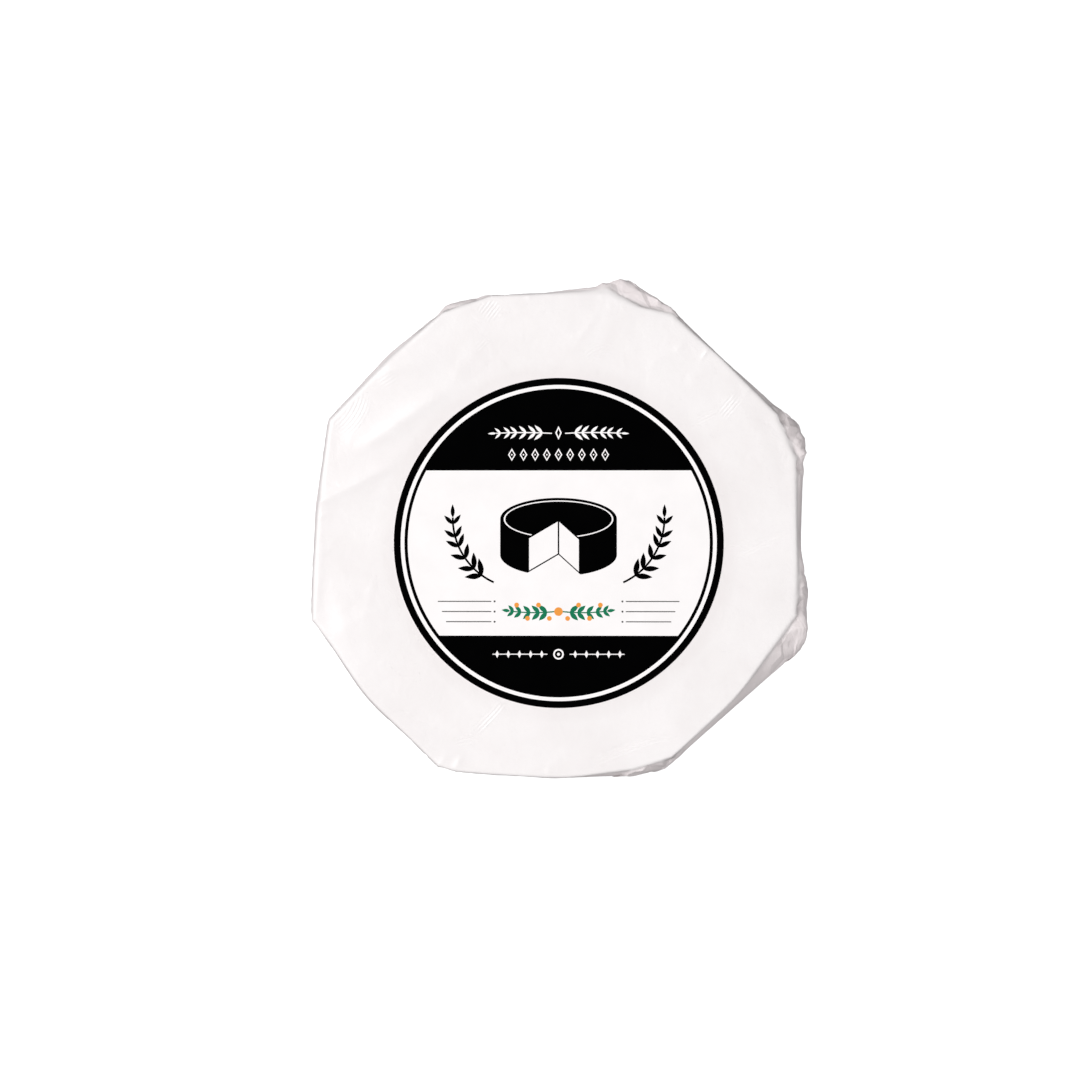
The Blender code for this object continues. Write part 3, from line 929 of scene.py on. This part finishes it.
def labelFields():
    # in order, each field over the ones before
    radius = labelRadius * 1000
    fields = [("black", disc(0, 0, radius, label["sides"])), ("stock", disc(0, 0, label["blackRing"], 200)),
              ("black", disc(0, 0, label["whiteRing"], 200))]
    fields.append(("stock", bandOfDisc(label["thinRing"], label["bottomBand"], label["topBand"])))

    # upper band: a garland over a row of lozenges
    y = label["garlandHeight"]
    fields += mirrored(sprig("stock", 2.6, y - 0.2, length=22.0, lean=3.0, bend=-6.0, leaves=6,
                             leafLength=4.4, leafWidth=1.3, stem=0.45))
    fields += [("stock", lozenge(0, y, 2.6, 5.4)), ("black", lozenge(0, y, 1.3, 3.2))]
    y = label["lozengeRow"]
    for n in range(-4, 5):
        x = n * label["lozengePitch"]
        fields += [("stock", lozenge(x, y, 3.0, 5.0)), ("black", lozenge(x, y, 1.9, 3.4)),
                   ("stock", disc(x, y, 0.32, 12))]

    # middle: the wheel between two sprigs
    fields += [(ink, placed(points, 0, 1.2)) for ink, points in wheelPicture()]
    fields += mirrored(sprig("black", 25.5, -15.5, length=32.0, lean=26.0, bend=66.0, leaves=6,
                             leafLength=7.0, leafWidth=2.3, stem=0.8))

    # under it: a garland of green leaves with ochre berries, between fine grey rules
    y = label["greenHeight"]
    fields += mirrored(sprig("green", 1.6, y, length=17.5, lean=-6.0, bend=14.0, leaves=5,
                             leafLength=4.6, leafWidth=1.9, stem=0.5))
    for n in range(4):
        berryY = y + (2.6 if n % 2 else -2.7)
        fields += mirrored([("ochre", disc(3.6 + label["berryPitch"] * n, berryY, 0.95, 20))])
    fields.append(("ochre", disc(0, y, 1.7, 28)))
    for row in (1, 0, -1):
        rise = row * label["ruleGap"]
        rule = bar(26.5, y + rise, 46.0 + 0.4 * rise, y + rise, 0.42)
        fields += mirrored([("grey", rule)]) + mirrored([("grey", disc(25.2, y + rise, 0.42, 12))])

    # lower band: a fine chain
    y = label["chainHeight"]
    fields += mirrored([("stock", bar(4.4, y, 26.0, y, 0.36))])
    for n in range(5):
        fields += mirrored([("stock", lozenge(6.6 + label["chainPitch"] * n, y, 1.5, 3.0))])
    fields += [("stock", disc(0, y, 2.1, 28)), ("black", disc(0, y, 1.45, 28)),
               ("stock", disc(0, y, 0.6, 16))]
    return fields


def partedFields(fields):
    # one flat mesh whose faces each lie in one field; returns its points, its faces and their inks
    points, outlines = [], []
    for _, edge in fields:
        area = sum(x0 * y1 - x1 * y0 for (x0, y0), (x1, y1) in zip(edge, edge[1:] + edge[:1]))
        outlines.append(list(range(len(points), len(points) + len(edge))))
        points += [Vector(point) for point in (edge if area > 0 else edge[::-1])]
    spacing = label["spacing"]
    reach = labelRadius * 1000 - 0.5 * spacing
    count = int(reach / spacing)
    for row in range(-count, count + 1):
        for column in range(-count, count + 1):
            x, y = (column + 0.5 * (row % 2)) * spacing, row * spacing * label["rowShare"]
            if hypot(x, y) < reach:
                points.append(Vector((x, y)))
    insideOnly, tolerance = 1, 1e-5
    made = delaunay_2d_cdt(points, [], outlines, insideOnly, tolerance, True)
    corners, faces, sources = made[0], made[2], made[5]
    inks = [fields[max(source)][0] for source in sources]
    return corners, faces, inks


def makeLabel():
    names = ("stock", "black", "grey", "green", "ochre")
    materials = [printMaterial("print" + name.title(), printLook[name]) for name in names]
    corners, faces, inks = partedFields(labelFields())
    x = np.array([corner.x for corner in corners]) / 1000 + labelCentre.x
    y = np.array([corner.y for corner in corners]) / 1000 + labelCentre.y
    low = paperTop + label["lift"] + topRelief(x, y) * calmShare(x, y) + sway(x, y)
    upper = list(zip(x, y, low + label["thickness"]))
    lower = list(zip(x, y, low))
    edges = dict.fromkeys(pair for face in faces for pair in zip(face, face[1:] + face[:1]))
    rim = [edge for edge in edges if (edge[1], edge[0]) not in edges]
    shift = len(upper)
    allFaces = [tuple(face) for face in faces]
    allFaces += [tuple(shift + corner for corner in reversed(face)) for face in faces]
    allFaces += [(second, first, shift + first, shift + second) for first, second in rim]
    slots = [names.index(ink) for ink in inks] + [0] * (len(faces) + len(rim))
    piece = addPiece("roundLabel", upper + lower, allFaces, materials, slots)
    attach(piece, "root")
    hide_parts("label")
    print("label:", len(allFaces), "faces")


# Floor, light and camera

studio = dict(
    floorColour=(0.40, 0.40, 0.40, 1.0),
    floorGlow=0.90,
    floorSize=6.0,
    floorRoughness=0.8,
    floorGloss=0.1,
    sky=0.415,
    belowShare=0.64,  # how bright the surroundings are below the horizon
    horizon=0.25,  # half the height over which they change
)

Lamp = namedtuple("Lamp", "name x y z size power")
lamps = (
    Lamp("keyLeft", -1.58, 0.48, 2.30, 1.00, 50.2),
    Lamp("fillRight", 0.85, -1.16, 1.55, 0.90, 10.0),
)


def makeFloor():
    size = studio["floorSize"] / 2
    mesh = bpy.data.meshes.new("floor")
    corners = [(-size, -size, 0), (size, -size, 0), (size, size, 0), (-size, size, 0)]
    mesh.from_pydata(corners, [], [(0, 1, 2, 3)])
    floor = bpy.data.objects.new("floor", mesh)
    bpy.context.scene.collection.objects.link(floor)
    board = Board(bpy.data.materials.new("paleFloor"))
    mesh.materials.append(board.done(
        BaseColor=studio["floorColour"], Roughness=studio["floorRoughness"],
        SpecularIORLevel=studio["floorGloss"], EmissionColor=(1.0, 1.0, 1.0, 1.0),
        EmissionStrength=studio["floorGlow"],
    ))
    # its glow is for the camera, and doesn't light the wheel
    floor.visible_diffuse = floor.visible_glossy = False


def makeLamps():
    board = Board(bpy.data.worlds.new("studio"))
    direction = board.add("ShaderNodeTexCoord", out="Generated")
    rise = board.add("ShaderNodeSeparateXYZ", None, {0: direction}, "Z")
    below = studio["sky"] * studio["belowShare"]
    sky = board.fade(rise, -studio["horizon"], studio["horizon"], below, studio["sky"])
    bpy.context.scene.world = board.done("Background", Color=(1.0, 1.0, 1.0, 1.0), Strength=sky)
    for lamp in lamps:
        light = bpy.data.lights.new(lamp.name, "AREA")
        light.shape, light.size, light.energy = "DISK", lamp.size, lamp.power
        holder = bpy.data.objects.new(lamp.name, light)
        holder.location = (lamp.x, lamp.y, lamp.z)
        holder.rotation_mode = "QUATERNION"
        holder.rotation_quaternion = Vector((-lamp.x, -lamp.y, -lamp.z)).to_track_quat("-Z", "Y")
        bpy.context.scene.collection.objects.link(holder)


# The picture is 1080 pixels square, at 0.394 mm a pixel in the plane of the label
view = dict(
    distance=1.6,
    aim=(-0.0061, -0.0020),
    tiltRight=2.2,  # degrees that the camera stands off straight above, to the right and to the top
    tiltUp=0.3,
    width=0.4255,  # of the picture in the plane of the label
    sensor=36.0,  # in mm
    clip=(0.1, 20.0),
)


def makeCamera():
    camera = bpy.data.cameras.new("camera")
    camera.sensor_width = view["sensor"]
    camera.lens = camera.sensor_width * view["distance"] / view["width"]
    camera.clip_start, camera.clip_end = view["clip"]
    holder = bpy.data.objects.new("camera", camera)
    back = Vector((sin(radians(view["tiltRight"])), sin(radians(view["tiltUp"])), 1.0)).normalized()
    right = Vector((0.0, 1.0, 0.0)).cross(back).normalized()
    upward = back.cross(right)
    spot = Vector((*view["aim"], paperTop)) + back * view["distance"]
    turn = Matrix((right, upward, back)).transposed().to_4x4()
    holder.matrix_world = Matrix.Translation(spot) @ turn
    bpy.context.scene.collection.objects.link(holder)
    bpy.context.scene.camera = holder


makePaper()
makeLabel()
makeFloor()
makeLamps()
makeCamera()
bpy.context.scene.view_settings.view_transform = "Standard"
print("floor, lamps and camera made")

bpy.context.view_layer.update()
